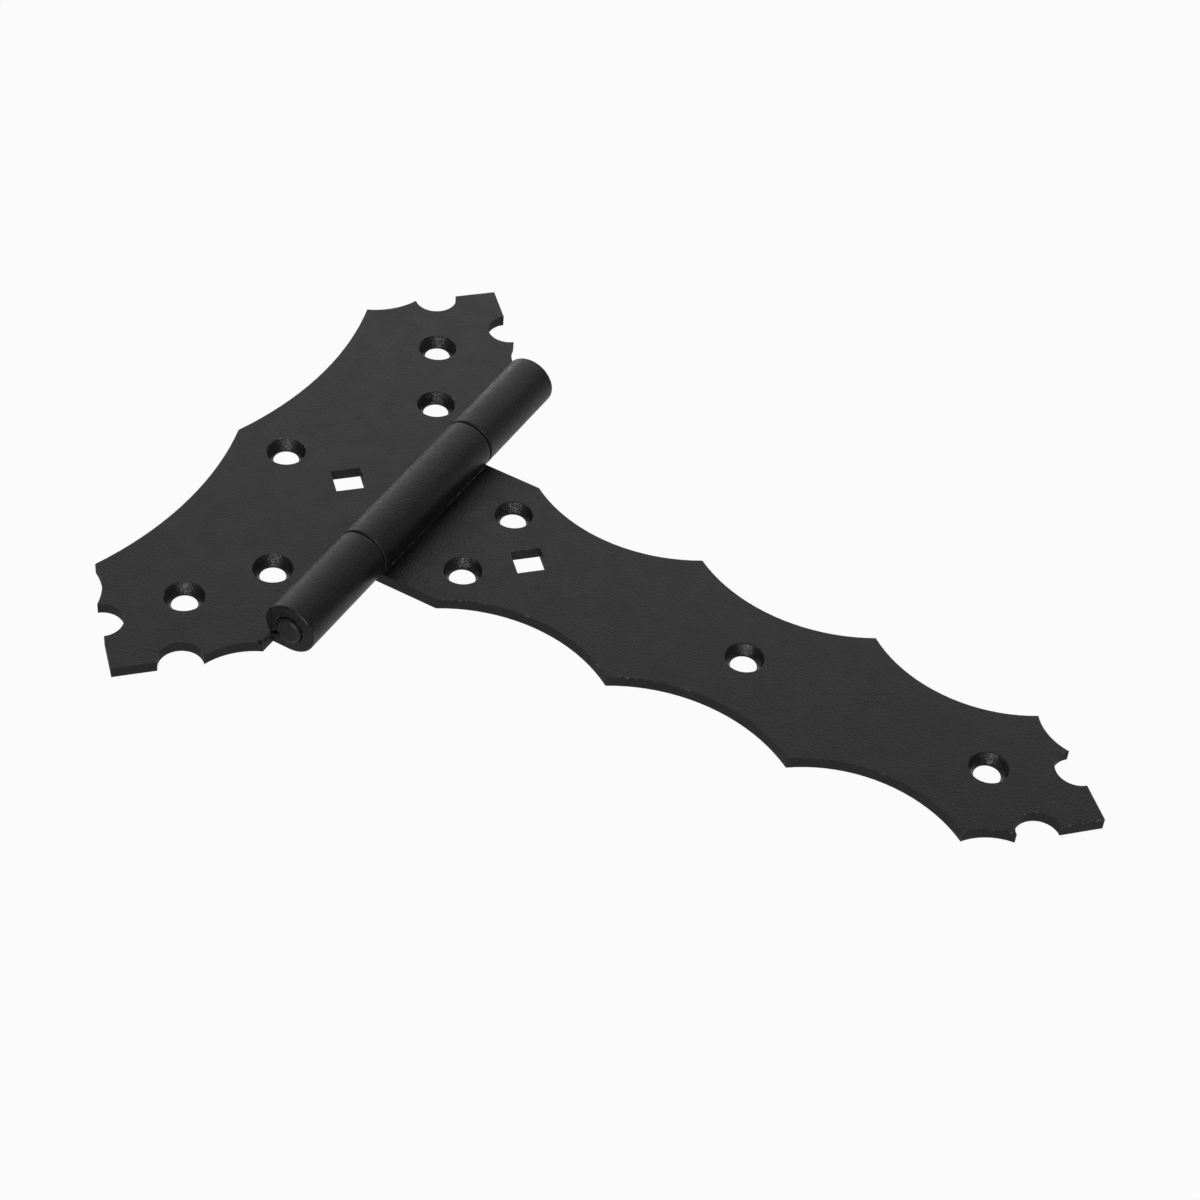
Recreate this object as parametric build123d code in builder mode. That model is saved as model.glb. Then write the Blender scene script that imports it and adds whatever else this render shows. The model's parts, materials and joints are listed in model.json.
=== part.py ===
from build123d import *
import os
from math import asin, atan, degrees, sqrt

# Tee hinge: a jamb leaf, a strap leaf and the pin they turn on, opened out flat.
# Millimetres. +X runs along the strap to its tip, +Y along the pin, +Z out of the screwed faces.
# The origin lies under the pin, half way along it, in the plane of both leaves' flat backs.

# Sheet, pin and running gaps
plate_t = 3.2  # thickness of both leaves
pin_d = 7.6
pin_gap = 0.28  # radial clearance of the pin in its knuckles
end_gap = 0.4  # between neighbouring knuckles, along the pin
swing_gap = 0.4  # from a leaf's edge to the knuckle that turns beside it
lip_gap = 0.3  # from the lip of a rolled knuckle down to its own leaf
pin_proud = 1.2  # how far the pin stands out of the barrel at each end
pin_edge = 1.0  # rounding of the pin's ends

# Barrel
barrel_length = 119.5  # over both knuckles of the jamb leaf
barrel_edge = 0.5  # rounding of the barrel's two end rims

# Pointed crest that ends both leaves: two edges square to each other, each with a round bite
crest_edge = 11.6  # straight edge from the point to the bite
bite_r = 5.9

# Jamb leaf
jamb_reach = 57.3  # pin axis to the three cusps of the scalloped side
jamb_side = 64.4  # middle cusp to either outer cusp
jamb_tip = 92.5  # middle of the leaf to the point of either crest
crest_x = 31.4  # pin axis to the centre line of both crests
heel_x = 5.2  # pin axis to the corner where the outline comes back to the barrel
heel_y = 64.0
side_hollow = 5.3  # depth of the two long scallops
shoulder_hollow = 1.5  # depth of the arcs that lead into a crest
heel_hollow = 1.6  # depth of the arcs that lead from a crest to the barrel

# Strap leaf
strap_reach = 200.0  # pin axis to the point of the strap
strap_width = 52.4  # the middle knuckle and the straight stretch beside it
strap_straight = 23.0  # pin axis to the end of that stretch
strap_cusps = [(73.5, 26.0), (125.0, 25.6), (172.0, 23.6)]  # the other cusps: distance out, half width
strap_hollow = 7.9  # depth of the scallops between the cusps

# Countersunk screw holes, and square holes for the necks of two bolts
screw_d = 7.0
jamb_sink_d = 10.9  # across the jamb leaf's countersinks at the face
strap_sink_d = 10.5  # across the strap leaf's
sink_land = 0.45  # straight wall under the countersinks, which reach nearly through the sheet
bolt_square = 8.2  # side of each square, which is set corner to corner along the strap
jamb_crest_screw_y = 61.3
jamb_inner_screw_x = 18.6
jamb_inner_screw_y = 40.0
jamb_back_screw_x = 41.6
jamb_bolt_x = 21.4
strap_pair_x = 22.8
strap_pair_y = 13.0
strap_bolt_x = 35.3
strap_mid_screw_x = 99.7
strap_end_screw_x = 168.6

# Sizes that follow
bore_r = pin_d / 2 + pin_gap
barrel_r = bore_r + plate_t
barrel_half = barrel_length / 2
strap_half = strap_width / 2
lip_angle = degrees(asin((bore_r - lip_gap) / barrel_r))  # how far the lip stops below the pin axis
crest_run = (crest_edge + 2 * bite_r) / sqrt(2)  # the crest's edges run back this far in X and in Y
bite_run = (crest_edge + bite_r) / sqrt(2)  # and their bites are centred this far back


def knuckle_section(y, leaf_side):
    """Section of a knuckle rolled up from the back of its leaf, which lies at -X (-1) or +X (+1)."""
    turn = -leaf_side * (270 + lip_angle)
    with BuildSketch(Plane.XZ.offset(-y)) as section:
        with BuildLine():
            outer = CenterArc((0, barrel_r), barrel_r, -90, turn)
            inner = CenterArc((0, barrel_r), bore_r, -90, turn)
            Line(outer @ 0, inner @ 0)
            Line(outer @ 1, inner @ 1)
        make_face()
    return section.sketch


def sink_angle(sink_d):
    """Full angle of a countersink that narrows to the screw hole over all but the land of the sheet."""
    return 2 * degrees(atan((sink_d - screw_d) / 2 / (plate_t - sink_land)))


def square_hole(x):
    """Outline of a square bolt hole on the centre line, one diagonal along the strap."""
    with BuildSketch() as hole:
        with Locations((x, 0)):
            Rectangle(bolt_square, bolt_square, rotation=45)
    return hole.sketch


# Jamb leaf: half the outline, drawn with the leaf on the right of the way taken, then mirrored
with BuildPart() as jamb_leaf:
    crest_foot = jamb_tip - crest_run
    with BuildSketch() as jamb_outline:
        with BuildLine():
            SagittaArc((-jamb_reach, 0), (-jamb_reach, jamb_side), -side_hollow)
            SagittaArc((-jamb_reach, jamb_side), (-crest_x - crest_run, crest_foot), -shoulder_hollow)
            Polyline((-crest_x - crest_run, crest_foot), (-crest_x, jamb_tip), (-crest_x + crest_run, crest_foot))
            SagittaArc((-crest_x + crest_run, crest_foot), (-heel_x, heel_y), -heel_hollow)
            Polyline((-heel_x, heel_y), (-heel_x, barrel_half), (0, barrel_half), (0, 0), (-jamb_reach, 0))
        make_face()
        with Locations((-crest_x - bite_run, jamb_tip - bite_run), (-crest_x + bite_run, jamb_tip - bite_run)):
            Circle(bite_r, mode=Mode.SUBTRACT)
        mirror(about=Plane.XZ)
        # Window in which the strap leaf's knuckle turns
        Rectangle(2 * (barrel_r + swing_gap), strap_width + 2 * end_gap, mode=Mode.SUBTRACT)
        add(square_hole(-jamb_bolt_x), mode=Mode.SUBTRACT)
    extrude(amount=plate_t)
    with Locations(
        (-crest_x, jamb_crest_screw_y, plate_t),
        (-crest_x, -jamb_crest_screw_y, plate_t),
        (-jamb_inner_screw_x, jamb_inner_screw_y, plate_t),
        (-jamb_inner_screw_x, -jamb_inner_screw_y, plate_t),
        (-jamb_back_screw_x, 0, plate_t),
    ):
        CounterSinkHole(screw_d / 2, jamb_sink_d / 2, counter_sink_angle=sink_angle(jamb_sink_d))
    for high in (barrel_half, -strap_half - end_gap):
        extrude(knuckle_section(high, -1), amount=barrel_half - strap_half - end_gap)
    arcs = jamb_leaf.edges().filter_by(GeomType.CIRCLE).filter_by(lambda arc: abs(arc.radius - barrel_r) < 0.01)
    fillet(arcs.filter_by(lambda arc: abs(arc.center().Y) > barrel_half - 0.01), barrel_edge)

# Strap leaf: the same way round, from the barrel out to the tip
with BuildPart() as strap_leaf:
    cusps = [(strap_straight, strap_half)] + strap_cusps
    tip_foot = strap_reach - crest_run
    with BuildSketch() as strap_outline:
        with BuildLine():
            Polyline((0, 0), (0, strap_half), cusps[0])
            for start, end in zip(cusps, cusps[1:]):
                SagittaArc(start, end, -strap_hollow)
            SagittaArc(cusps[-1], (tip_foot, crest_run), -shoulder_hollow)
            Polyline((tip_foot, crest_run), (strap_reach, 0), (0, 0))
        make_face()
        with Locations((strap_reach - bite_run, bite_run)):
            Circle(bite_r, mode=Mode.SUBTRACT)
        mirror(about=Plane.XZ)
        add(square_hole(strap_bolt_x), mode=Mode.SUBTRACT)
    extrude(amount=plate_t)
    with Locations(
        (strap_pair_x, strap_pair_y, plate_t),
        (strap_pair_x, -strap_pair_y, plate_t),
        (strap_mid_screw_x, 0, plate_t),
        (strap_end_screw_x, 0, plate_t),
    ):
        CounterSinkHole(screw_d / 2, strap_sink_d / 2, counter_sink_angle=sink_angle(strap_sink_d))
    extrude(knuckle_section(strap_half, 1), amount=strap_width)

# Pin: a plain rod with rounded ends, on the axis of the barrel
with BuildPart() as hinge_pin:
    with BuildSketch(Plane.XZ):
        with Locations((0, barrel_r)):
            Circle(pin_d / 2)
    extrude(amount=barrel_half + pin_proud, both=True)
    fillet(hinge_pin.edges().filter_by(GeomType.CIRCLE), radius=pin_edge)

os.makedirs("parts", exist_ok=True)
jamb_leaf.part.label = "jamb_leaf"
export_step(jamb_leaf.part, "parts/jamb_leaf.step")
strap_leaf.part.label = "strap_leaf"
export_step(strap_leaf.part, "parts/strap_leaf.step")
hinge_pin.part.label = "hinge_pin"
export_step(hinge_pin.part, "parts/hinge_pin.step")
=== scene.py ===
import bmesh
import bpy
import json
import math
from mathutils import Matrix, Vector

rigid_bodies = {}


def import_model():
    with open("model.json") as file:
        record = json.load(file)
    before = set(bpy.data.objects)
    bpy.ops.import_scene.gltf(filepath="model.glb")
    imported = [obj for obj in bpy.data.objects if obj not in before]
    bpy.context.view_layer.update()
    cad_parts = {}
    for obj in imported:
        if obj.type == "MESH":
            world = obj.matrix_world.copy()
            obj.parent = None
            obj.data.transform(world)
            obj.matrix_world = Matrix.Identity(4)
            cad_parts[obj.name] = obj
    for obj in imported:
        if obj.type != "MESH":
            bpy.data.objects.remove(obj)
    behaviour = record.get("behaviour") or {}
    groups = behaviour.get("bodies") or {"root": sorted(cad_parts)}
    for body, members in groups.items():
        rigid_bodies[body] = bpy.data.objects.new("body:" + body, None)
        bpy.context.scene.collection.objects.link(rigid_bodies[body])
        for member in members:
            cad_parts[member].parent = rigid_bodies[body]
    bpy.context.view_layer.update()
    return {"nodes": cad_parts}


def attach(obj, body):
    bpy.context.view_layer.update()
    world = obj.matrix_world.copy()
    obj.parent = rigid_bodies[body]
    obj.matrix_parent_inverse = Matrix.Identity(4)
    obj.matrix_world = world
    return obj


for startUp in list(bpy.data.objects):  # Blender's own cube, lamp and camera
    bpy.data.objects.remove(startUp)

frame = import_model()
nodes = frame["nodes"]
scene = bpy.context.scene
mm = 0.001
print("frame loaded:", ", ".join(sorted(nodes)))


def linear(hexCode):  # sRGB hex to the linear colour that shaders take
    parts = [int(hexCode[i:i + 2], 16) / 255 for i in (1, 3, 5)]
    return [p / 12.92 if p < 0.04045 else ((p + 0.055) / 1.055) ** 2.4 for p in parts] + [1]


def addNode(tree, kind, inputs=(), output=0, **choices):
    node = tree.nodes.new("ShaderNode" + kind)
    for choice, value in choices.items():
        setattr(node, choice, value)
    named = inputs.items() if isinstance(inputs, dict) else enumerate(inputs)
    for socket, value in named:  # another node's output is linked, anything else is set
        if isinstance(value, bpy.types.NodeSocket):
            tree.links.new(value, node.inputs[socket])
        else:
            node.inputs[socket].default_value = value
    return node.outputs[output] if node.outputs else None


# Powder rounds every cut edge a little
coatedEdge = {"weld": 0.002 * mm, "radius": 0.12 * mm, "segments": 2, "sharperThan": math.radians(28)}

for name in ("jamb_leaf", "strap_leaf", "hinge_pin"):
    weld = nodes[name].modifiers.new("joinFaces", "WELD")
    weld.merge_threshold = coatedEdge["weld"]
    edge = nodes[name].modifiers.new("roundEdges", "BEVEL")
    edge.width = coatedEdge["radius"]
    edge.segments = coatedEdge["segments"]
    edge.limit_method = "ANGLE"
    edge.angle_limit = coatedEdge["sharperThan"]
    shading = nodes[name].modifiers.new("evenShading", "WEIGHTED_NORMAL")
    shading.mode = "FACE_AREA"  # broad faces stay flat up to their rims
print("edges rounded")

# Satin black polyester powder coat on rolled mild steel, sprayed dry and cured in an oven: it flows out
# into a faint orange peel, pulls thin over sharp edges, and holds pinholes and specks of dust.
# In these dictionaries a size is how wide a pattern's marks are, and a height how far they rise, in mm.
# A pair is where a mask starts and where it is full, as a value of the noise if its name ends in From
leafCoat = {
    "film": "#08080a", "filmThick": "#0e0e0f", "overEdges": "#4c4c4d", "bareSteel": "#8d8b88",
    "roughness": 0.33, "roughnessSpread": 0.05, "ior": 1.5,
    "peelSize": 0.8 * mm, "peelHeight": 0.05,
    # single grains of powder are under 0.1 mm wide, and are drawn coarser so that they show
    "grainSize": 0.36 * mm, "grainHeight": 0.12, "grainFilm": "#1f1f20", "grainFrom": (0.5, 0.7),
    "waveSize": 14 * mm, "waveHeight": 0.05, "thickFrom": (0.35, 0.65),  # the rolled sheet is not quite flat
    "glossPatch": 5 * mm, "glossFrom": (0.3, 0.7),
}
# kept is the share of the cells that hold a dot, and core how much of the dot is full
dust = {
    "pinhole": {"spacing": 3.4 * mm, "size": 0.30 * mm, "core": 0.4, "kept": 0.35, "shift": 0.013,
                "height": -0.08, "rougher": 0.4},
    "speck": {"spacing": 5.2 * mm, "size": 0.26 * mm, "core": 0.4, "kept": 0.22, "shift": 0.041,
              "height": 0.05, "tint": 0.5},
}
# thin grey film along the edges, and chips down to bare steel where they were rubbed
edgeWear = {
    "reach": 0.6 * mm, "lean": (0.985, 0.90),  # cosine between the rounded normal and the flat one
    "thinPatch": 3 * mm, "thinFrom": (0.35, 0.7), "thin": 0.22,
    "chip": 1.5 * mm, "chipFrom": (0.53, 0.60), "rubbedPatch": 17 * mm, "rubbedFrom": (0.47, 0.57),
    "metallic": 0.8,
}
# walls left by the punch, below the sheet's face, and the knuckles' sawn ends; upright and endOn are how a
# normal has to stand for each, and streakRun draws the punch's streaks out through the sheet. Their colour is
# also darkened towards black, as painted shade for the self-shadowing of the rough walls
cutWall = {
    "below": 3.3, "fade": 0.05, "upright": (0.45, 0.25), "endOn": (0.93, 0.98),
    "streak": 0.5 * mm, "streakHeight": 0.24, "streakRun": (1, 1, 0.15), "rougher": 0.28, "paintedShade": 0.3,
}
# cones pressed for the screw heads, told by how far their normals lean and by their height in the sheet;
# their film is painted lighter, for light thrown back into the cones
screwSeat = {
    "above": 0.5, "below": 3.05, "fade": 0.1, "steepest": (0.45, 0.52), "flattest": (0.75, 0.66),
    "fleck": 0.42 * mm, "fleckHeight": 0.18, "roughness": 0.21, "film": "#1a1a1b",
}
# three bites that the press tore from the rim of the near heel, with painted shade inside them; places and
# radius in mm
heelBites = {
    "places": ((-5.9, -64.1, 3.1), (-5.1, -62.6, 3.1), (-4.6, -60.7, 3.1)), "radius": 0.62, "core": 0.75,
    "height": -0.8, "rougher": 0.4,
}
# the knuckles' rims roll over and hold no gloss where they meet, and painted shade makes them black there;
# middle is the middle of that gap, in mm from the middle of the barrel
knuckleRim = {"middle": 26.4, "from": (0.8, 0.3), "above": 3.5, "height": -0.3, "rougher": 0.3}


def punchedWall(tree, normal, height):  # 1 on the upright walls of the sheet and on the knuckles' ends
    upright = addNode(tree, "Math", (normal["Z"],), operation="ABSOLUTE")
    sideways = addNode(tree, "MapRange", (upright, *cutWall["upright"]), interpolation_type="SMOOTHSTEP")
    along = addNode(tree, "Math", (normal["Y"],), operation="ABSOLUTE")
    endOn = addNode(tree, "MapRange", (along, *cutWall["endOn"]), interpolation_type="SMOOTHSTEP")
    out, full = (cutWall["below"] + side * cutWall["fade"] for side in (1, -1))
    inSheet = addNode(tree, "MapRange", (height, out, full))
    either = addNode(tree, "Math", (inSheet, endOn), operation="MAXIMUM")
    return addNode(tree, "Math", (sideways, either), operation="MULTIPLY")


def countersink(tree, normal, height):  # 1 on the cones of the screw holes
    above = addNode(tree, "MapRange", (normal["Z"], *screwSeat["steepest"]), interpolation_type="SMOOTHSTEP")
    below = addNode(tree, "MapRange", (normal["Z"], *screwSeat["flattest"]), interpolation_type="SMOOTHSTEP")
    leaning = addNode(tree, "Math", (above, below), operation="MULTIPLY")
    land, face, fade = screwSeat["above"], screwSeat["below"], screwSeat["fade"]
    overLand = addNode(tree, "MapRange", (height, land - fade, land))
    underFace = addNode(tree, "MapRange", (height, face + fade, face))
    atDepth = addNode(tree, "Math", (overLand, underFace), operation="MULTIPLY")
    return addNode(tree, "Math", (leaning, atDepth), operation="MULTIPLY")


def rolledRimAndSeamShade(tree, place, height):  # 0 on the barrel, rising to 1 at the gaps between its knuckles, where shade is painted
    along = addNode(tree, "SeparateXYZ", (place,), output="Y")
    along = addNode(tree, "Math", (along, mm), operation="DIVIDE")
    outward = addNode(tree, "Math", (along,), operation="ABSOLUTE")
    away = addNode(tree, "Math", (outward, knuckleRim["middle"]), operation="SUBTRACT")
    away = addNode(tree, "Math", (away,), operation="ABSOLUTE")
    near = addNode(tree, "MapRange", (away, *knuckleRim["from"]), interpolation_type="SMOOTHSTEP")
    onBarrel = addNode(tree, "Math", (height, knuckleRim["above"]), operation="GREATER_THAN")
    return addNode(tree, "Math", (near, onBarrel), operation="MULTIPLY")


def scattered(tree, place, dots):  # round dots in a few cells of an uneven pattern
    shift = [dots["shift"] * step for step in (1, 0.7, 0.4)]  # uneven, so that no two kinds of dot line up
    moved = addNode(tree, "VectorMath", (place, shift), operation="ADD")
    pattern = {"Vector": moved, "Scale": 1 / dots["spacing"]}
    tint = addNode(tree, "TexVoronoi", pattern, output="Color")
    reach = addNode(tree, "TexVoronoi", pattern, output="Distance")
    draw = addNode(tree, "SeparateColor", (tint,))
    chosen = addNode(tree, "Math", (draw, dots["kept"]), operation="LESS_THAN")
    size = dots["size"] / dots["spacing"]
    dot = addNode(tree, "MapRange", (reach, size, dots["core"] * size), interpolation_type="SMOOTHSTEP")
    return addNode(tree, "Math", (chosen, dot), operation="MULTIPLY")


def tornRimAndShade(tree, place):  # 1 inside the bites, where their shade is painted
    torn = 0.0
    radius = heelBites["radius"] * mm
    for bite in heelBites["places"]:
        centre = [mm * side for side in bite]
        gap = addNode(tree, "VectorMath", (place, centre), output="Value", operation="DISTANCE")
        inside = addNode(tree, "MapRange", (gap, radius, heelBites["core"] * radius))
        torn = addNode(tree, "Math", (torn, inside), operation="MAXIMUM")
    return torn


def blackPowderCoat(name, coat):
    finish = bpy.data.materials.new(name)
    finish.use_nodes = True
    tree = finish.node_tree
    tree.nodes.clear()
    place = addNode(tree, "TexCoord", output="Object")
    facing = addNode(tree, "TexCoord", output="Normal")
    normal = {axis: addNode(tree, "SeparateXYZ", (facing,), output=axis) for axis in "YZ"}
    height = addNode(tree, "SeparateXYZ", (place,), output="Z")
    height = addNode(tree, "Math", (height, mm), operation="DIVIDE")  # in millimetres from here on
    wall = punchedWall(tree, normal, height)
    seat = countersink(tree, normal, height)
    pinholes = scattered(tree, place, dust["pinhole"])
    specks = scattered(tree, place, dust["speck"])
    bitesAndTheirShade = tornRimAndShade(tree, place)
    rimAndSeamShade = rolledRimAndSeamShade(tree, place, height)

    # wear: how far the rounded normal leans from the flat one marks an edge
    rounded = addNode(tree, "Bevel", {"Radius": edgeWear["reach"]}, samples=6)
    flat = addNode(tree, "NewGeometry", output="Normal")
    match = addNode(tree, "VectorMath", (rounded, flat), output="Value", operation="DOT_PRODUCT")
    edge = addNode(tree, "MapRange", (match, *edgeWear["lean"]), interpolation_type="SMOOTHSTEP")
    thinPatch = addNode(tree, "TexNoise", {"Vector": place, "Scale": 1 / edgeWear["thinPatch"]})
    thin = addNode(tree, "MapRange", (thinPatch, *edgeWear["thinFrom"], 0, edgeWear["thin"]))
    thin = addNode(tree, "Math", (edge, thin), operation="MULTIPLY")
    ragged = {"Vector": place, "Scale": 1 / edgeWear["chip"], "Detail": 3, "Roughness": 0.7}
    chip = addNode(tree, "TexNoise", ragged)
    chip = addNode(tree, "MapRange", (chip, *edgeWear["chipFrom"]), interpolation_type="SMOOTHSTEP")
    rubbed = addNode(tree, "TexNoise", {"Vector": place, "Scale": 1 / edgeWear["rubbedPatch"], "Detail": 1})
    rubbed = addNode(tree, "MapRange", (rubbed, *edgeWear["rubbedFrom"]), interpolation_type="SMOOTHSTEP")
    bare = addNode(tree, "Math", (chip, rubbed), operation="MULTIPLY")
    bare = addNode(tree, "Math", (edge, bare), operation="MULTIPLY")

    # colour: the film's thickness in slow clouds, then each layer over those before it
    cloud = addNode(tree, "TexNoise", {"Vector": place, "Scale": 1 / coat["waveSize"], "Detail": 3})
    thick = addNode(tree, "MapRange", (cloud, *coat["thickFrom"]), interpolation_type="SMOOTHSTEP")
    black = [0, 0, 0, 1]
    inputs = {0: thick, 6: linear(coat["film"]), 7: linear(coat["filmThick"])}
    colour = addNode(tree, "Mix", inputs, output=2, data_type="RGBA")
    grain = addNode(tree, "TexNoise", {"Vector": place, "Scale": 1 / coat["grainSize"], "Detail": 1.5})
    grain = addNode(tree, "MapRange", (grain, *coat["grainFrom"]))
    layers = (  # where it lies, its share there, its colour
        (grain, 1, linear(coat["grainFilm"])),
        # painted shade: the upright walls and sawn ends darkened towards black
        (wall, cutWall["paintedShade"], black),
        # painted light: the seats' film lighter than the faces'
        (seat, 1, linear(screwSeat["film"])),
        (thin, 1, linear(coat["overEdges"])),
        (bare, 1, linear(coat["bareSteel"])),
        (specks, dust["speck"]["tint"], linear(coat["overEdges"])),
        (pinholes, 1, black),
        # painted shade: black inside the bites
        (bitesAndTheirShade, 1, black),
        # painted shade: black at the gaps between the knuckles
        (rimAndSeamShade, 1, black),
    )
    for where, share, tint in layers:
        amount = addNode(tree, "Math", (where, share), operation="MULTIPLY")
        colour = addNode(tree, "Mix", {0: amount, 6: colour, 7: tint}, output=2, data_type="RGBA")

    # gloss: uneven over the faces, duller where the coat is rough or torn, brighter in the pressed seats
    patch = addNode(tree, "TexNoise", {"Vector": place, "Scale": 1 / coat["glossPatch"], "Detail": 3})
    low, high = (coat["roughness"] + side * coat["roughnessSpread"] for side in (-1, 1))
    gloss = addNode(tree, "MapRange", (patch, *coat["glossFrom"], low, high), interpolation_type="SMOOTHSTEP")
    for where, what in ((wall, cutWall), (pinholes, dust["pinhole"]), (bitesAndTheirShade, heelBites), (rimAndSeamShade, knuckleRim)):
        gloss = addNode(tree, "Math", (where, what["rougher"], gloss), operation="MULTIPLY_ADD")
    gloss = addNode(tree, "Mix", {0: seat, 2: gloss, 3: screwSeat["roughness"]}, data_type="FLOAT")

    # relief in millimetres: each pattern's noise times its height, some only where their mask lies
    upDown = addNode(tree, "VectorMath", (place, cutWall["streakRun"]), operation="MULTIPLY")
    patterns = (  # where it is laid, its size, its height, its mask
        (place, coat["peelSize"], coat["peelHeight"], None),
        (place, coat["grainSize"], coat["grainHeight"], None),
        (upDown, cutWall["streak"], cutWall["streakHeight"], wall),
        (place, screwSeat["fleck"], screwSeat["fleckHeight"], seat),
    )
    relief = addNode(tree, "Math", (cloud, coat["waveHeight"]), operation="MULTIPLY")
    for where, size, rise, only in patterns:
        noise = addNode(tree, "TexNoise", {"Vector": where, "Scale": 1 / size, "Detail": 1.5})
        if only:
            noise = addNode(tree, "Math", (noise, only), operation="MULTIPLY")
        relief = addNode(tree, "Math", (noise, rise, relief), operation="MULTIPLY_ADD")
    marks = ((specks, dust["speck"]), (pinholes, dust["pinhole"]), (bitesAndTheirShade, heelBites), (rimAndSeamShade, knuckleRim))
    for where, what in marks:
        relief = addNode(tree, "Math", (where, what["height"], relief), operation="MULTIPLY_ADD")
    bump = addNode(tree, "Bump", {"Height": relief, "Distance": mm})

    metallic = addNode(tree, "Math", (bare, edgeWear["metallic"]), operation="MULTIPLY")
    inputs = {"Base Color": colour, "Roughness": gloss, "Metallic": metallic, "Normal": bump}
    inputs["IOR"] = coat["ior"]
    addNode(tree, "OutputMaterial", {"Surface": addNode(tree, "BsdfPrincipled", inputs)})
    return finish


satinBlack = blackPowderCoat("satinBlackPowderCoat", leafCoat)
# the same coat on sawn round rod, where it lies rougher, with its film painted a little lighter for the light
# on the domed ends; only the pin's ends show
pinCoat = dict(leafCoat, film="#161617", filmThick="#1e1e1f", roughness=0.40)
satinBlackRod = blackPowderCoat("satinBlackPowderCoatOnRod", pinCoat)
for name, finish in (("jamb_leaf", satinBlack), ("strap_leaf", satinBlack), ("hinge_pin", satinBlackRod)):
    nodes[name].material_slots[0].material = finish
print("powder coat on the leaves and the pin")

# Where a rolled lip stops just over its own leaf the powder bridges the slit in a thin bead.
# It follows the lip's outer edge, lipAngle below the pin, and swells and wanders a little on its way
lipBead = {
    "barrelRadius": 7.28 * mm, "lipAngle": math.radians(31.3), "out": 0.12 * mm, "up": 3.36 * mm,
    "radius": 0.2 * mm, "ring": 10, "step": 0.8 * mm, "tip": 0.25, "tipGrows": 0.4,
    "swell": 0.12, "swellWaves": (1.7, 0.61), "wander": 0.03 * mm, "wanderWave": 0.83,
}
lips = (  # name, the body it rides on, the side of the barrel, and its two ends along the pin in mm
    ("strapLipBead", "strap", 1, -26.2, 26.2),
    ("nearJambLipBead", "jamb", -1, -59.0, -26.7),
    ("farJambLipBead", "jamb", -1, 26.7, 59.0),
)
for name, body, side, start, end in lips:
    lipX = side * (lipBead["barrelRadius"] * math.cos(lipBead["lipAngle"]) + lipBead["out"])
    stops = max(2, round((end - start) * mm / lipBead["step"]))
    quick, slow = lipBead["swellWaves"]
    shape = bmesh.new()
    rings = []
    for stop in range(stops + 1):
        y = start * mm + (end - start) * mm * stop / stops
        taper = min(1, lipBead["tip"] + lipBead["tipGrows"] * min(stop, stops - stop))
        swell = 1 + lipBead["swell"] * math.sin(stop * quick) * math.sin(stop * slow)
        radius = lipBead["radius"] * taper * swell
        drift = lipBead["wander"] * math.sin(stop * lipBead["wanderWave"] + side)
        ring = []
        for i in range(lipBead["ring"]):
            angle = 2 * math.pi * i / lipBead["ring"]
            x, z = lipX + drift + radius * math.cos(angle), lipBead["up"] + radius * math.sin(angle)
            ring.append(shape.verts.new((x, y, z)))
        rings.append(ring)
    for near, far in zip(rings, rings[1:]):
        for i in range(lipBead["ring"]):
            shape.faces.new((near[i], near[i - 1], far[i - 1], far[i]))
    shape.faces.new(rings[0])
    shape.faces.new(reversed(rings[-1]))
    bmesh.ops.recalc_face_normals(shape, faces=shape.faces[:])
    for face in shape.faces:
        face.smooth = len(face.verts) == 4  # the two round ends stay flat
    beadMesh = bpy.data.meshes.new(name)
    shape.to_mesh(beadMesh)
    shape.free()
    bead = bpy.data.objects.new(name, beadMesh)
    scene.collection.objects.link(bead)
    beadMesh.materials.append(satinBlack)
    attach(bead, body)
print("lip beads laid")

# Plain white cove, deep enough for the strap to hang down in it and for a camera anywhere round the hinge
cove = {"glow": "#fbfbfb", "half": 2.6, "floor": -0.8, "roof": 2.4, "round": 0.7, "segments": 10}
coveShape = bmesh.new()
bmesh.ops.create_cube(coveShape, size=2 * cove["half"])
for corner in coveShape.verts:
    corner.co.z = cove["floor"] if corner.co.z < 0 else cove["roof"]
bmesh.ops.bevel(coveShape, geom=coveShape.edges[:], offset=cove["round"], segments=cove["segments"],
                profile=0.5, affect="EDGES")
coveMesh = bpy.data.meshes.new("paleFloor")
coveShape.to_mesh(coveMesh)
coveShape.free()
floor = bpy.data.objects.new("paleFloor", coveMesh)
scene.collection.objects.link(floor)
acrylic = bpy.data.materials.new("backlitWhiteAcrylic")  # cast sheet lit from behind, so it shows no shadows
acrylic.use_nodes = True
acrylic.node_tree.nodes.clear()
glow = addNode(acrylic.node_tree, "Emission", {"Color": linear(cove["glow"])})
addNode(acrylic.node_tree, "OutputMaterial", {"Surface": glow})
coveMesh.materials.append(acrylic)
for ray in ("diffuse", "glossy", "transmission", "shadow"):  # its light on the hinge is the world's below
    setattr(floor, "visible_" + ray, False)

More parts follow.
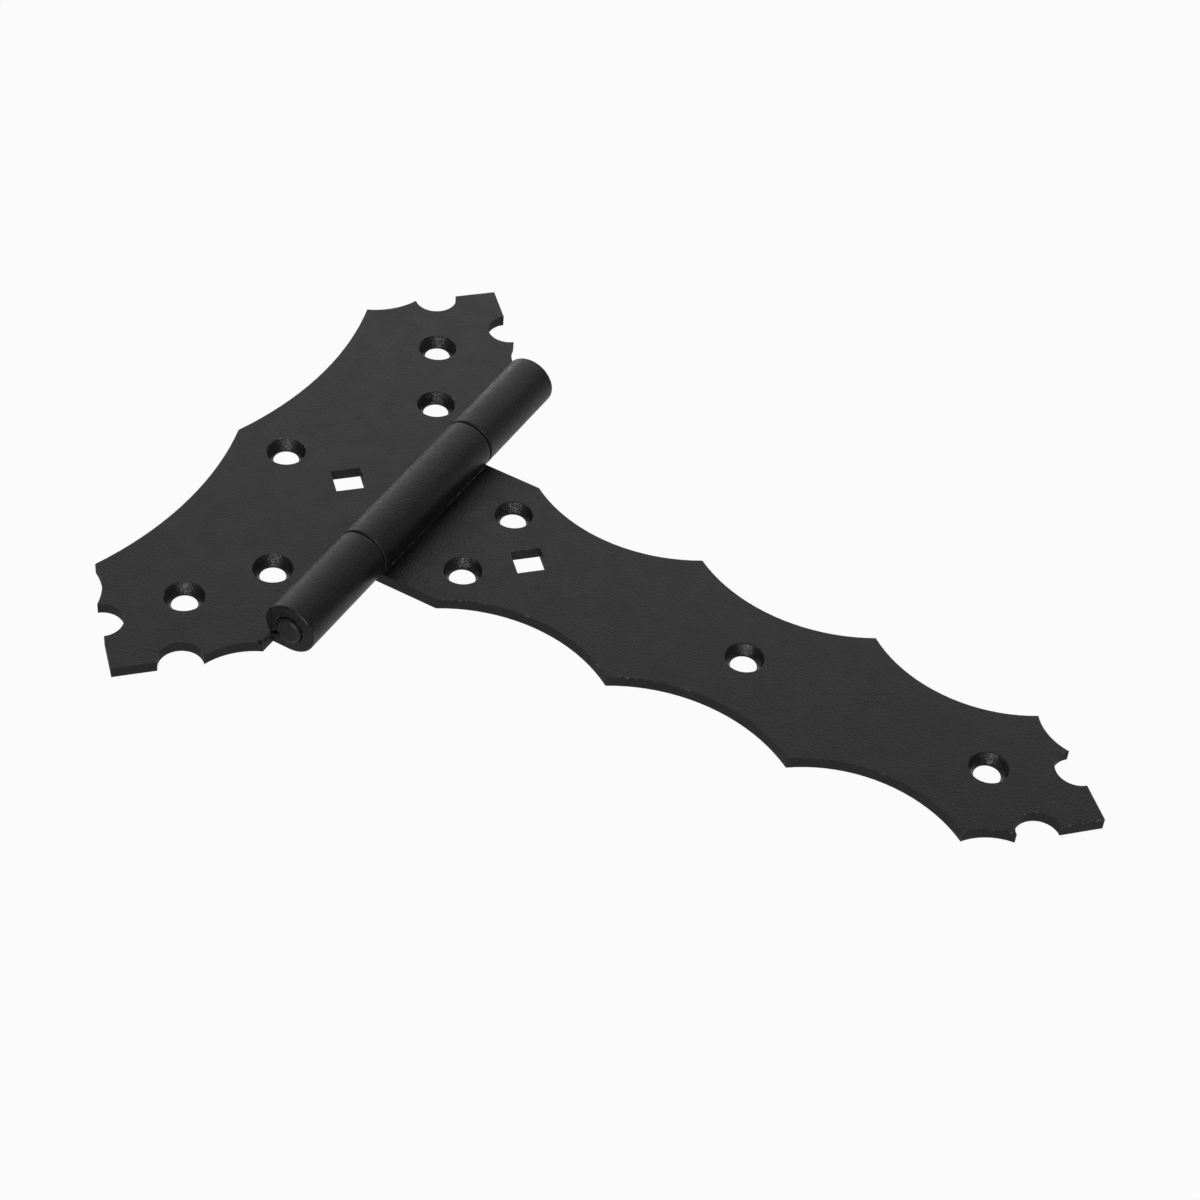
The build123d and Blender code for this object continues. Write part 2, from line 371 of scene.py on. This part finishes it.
# Light: the pale floor's from under, dimmer in front than behind, a room that is darkest just over the
# horizon, and soft boxes. Each pair is a direction's height, from -1 straight down to 1 straight up, and the
# brightness there. floorInFront is the floor's on the camera's side, which changes over between front and
# back, both a direction's reach along the pin
studio = {
    "floor": (-0.22, 0.62), "horizon": (0.03, 0.08), "room": (0.75, 0.31),
    "floorInFront": 0.56, "front": -0.6, "back": 0.3,
}
world = bpy.data.worlds.new("softStudio")
scene.world = world
world.use_nodes = True
sky = world.node_tree
sky.nodes.clear()
way = addNode(sky, "TexCoord", output="Generated")
height = addNode(sky, "SeparateXYZ", (way,), output="Z")
along = addNode(sky, "SeparateXYZ", (way,), output="Y")
(deep, under), (horizon, dim), (high, room) = studio["floor"], studio["horizon"], studio["room"]
under = addNode(sky, "MapRange", (along, studio["front"], studio["back"], studio["floorInFront"], under))
upper = addNode(sky, "MapRange", (height, horizon, high, dim, room))
brightness = addNode(sky, "MapRange", (height, deep, horizon, under, upper))
addNode(sky, "OutputWorld", {"Surface": addNode(sky, "Background", {"Strength": brightness})})

# glow is the brightness of the box's face, size its width and height in metres; all face the hinge
softBoxes = {
    "leftBox": {"glow": 0.58, "size": (2.5, 0.94), "place": (-0.49, 0.88, 0.55)},  # greys the flat faces
    "lowStrip": {"glow": 1.4, "size": (1.5, 0.22), "place": (-0.85, 0.70, -0.13)},  # streak on the barrel
    "backStrip": {"glow": 0.4, "size": (0.6, 0.25), "place": (0.62, 0.95, 0.14)},  # barrel's right flank
    "frontBox": {"glow": 9.0, "size": (0.30, 0.45), "place": (0.46, -1.01, 0.54)},  # glints in the seats
    "frontWall": {"glow": 0.3, "size": (2.4, 1.4), "place": (0.45, -1.35, 0.75)},
}
for name, setting in softBoxes.items():
    lamp = bpy.data.lights.new(name, "AREA")
    lamp.shape = "RECTANGLE"
    lamp.size, lamp.size_y = setting["size"]
    lamp.energy = 4 * setting["glow"] * lamp.size * lamp.size_y  # watts for a face as bright as glow
    box = bpy.data.objects.new(name, lamp)
    scene.collection.objects.link(box)
    box.location = setting["place"]
    box.rotation_euler = (-Vector(setting["place"])).to_track_quat("-Z", "Y").to_euler()
    box.visible_camera = False
print("cove and lights set")

# The photograph's viewpoint
viewpoint = {
    "azimuth": 25.508, "elevation": 43.969, "roll": 5.944, "lens": 84.42, "sensor": 36,
    "aim": (56.87 * mm, 0.54 * mm, 0.0), "distance": 737.66 * mm,
}
turn, rise, lean = (math.radians(viewpoint[key]) for key in ("azimuth", "elevation", "roll"))
back = Vector((math.sin(turn) * math.cos(rise), -math.cos(turn) * math.cos(rise), math.sin(rise)))
level = Vector((math.cos(turn), math.sin(turn), 0))
upright = back.cross(level)
right = level * math.cos(lean) + upright * math.sin(lean)
up = upright * math.cos(lean) - level * math.sin(lean)
camera = bpy.data.objects.new("photoCamera", bpy.data.cameras.new("photoCamera"))
scene.collection.objects.link(camera)
camera.data.lens = viewpoint["lens"]
camera.data.sensor_width = viewpoint["sensor"]
camera.location = Vector(viewpoint["aim"]) + back * viewpoint["distance"]
camera.rotation_mode = "QUATERNION"
camera.rotation_quaternion = Matrix((right, up, back)).transposed().to_quaternion()
scene.camera = camera
scene.view_settings.view_transform = "Standard"
print("camera set")
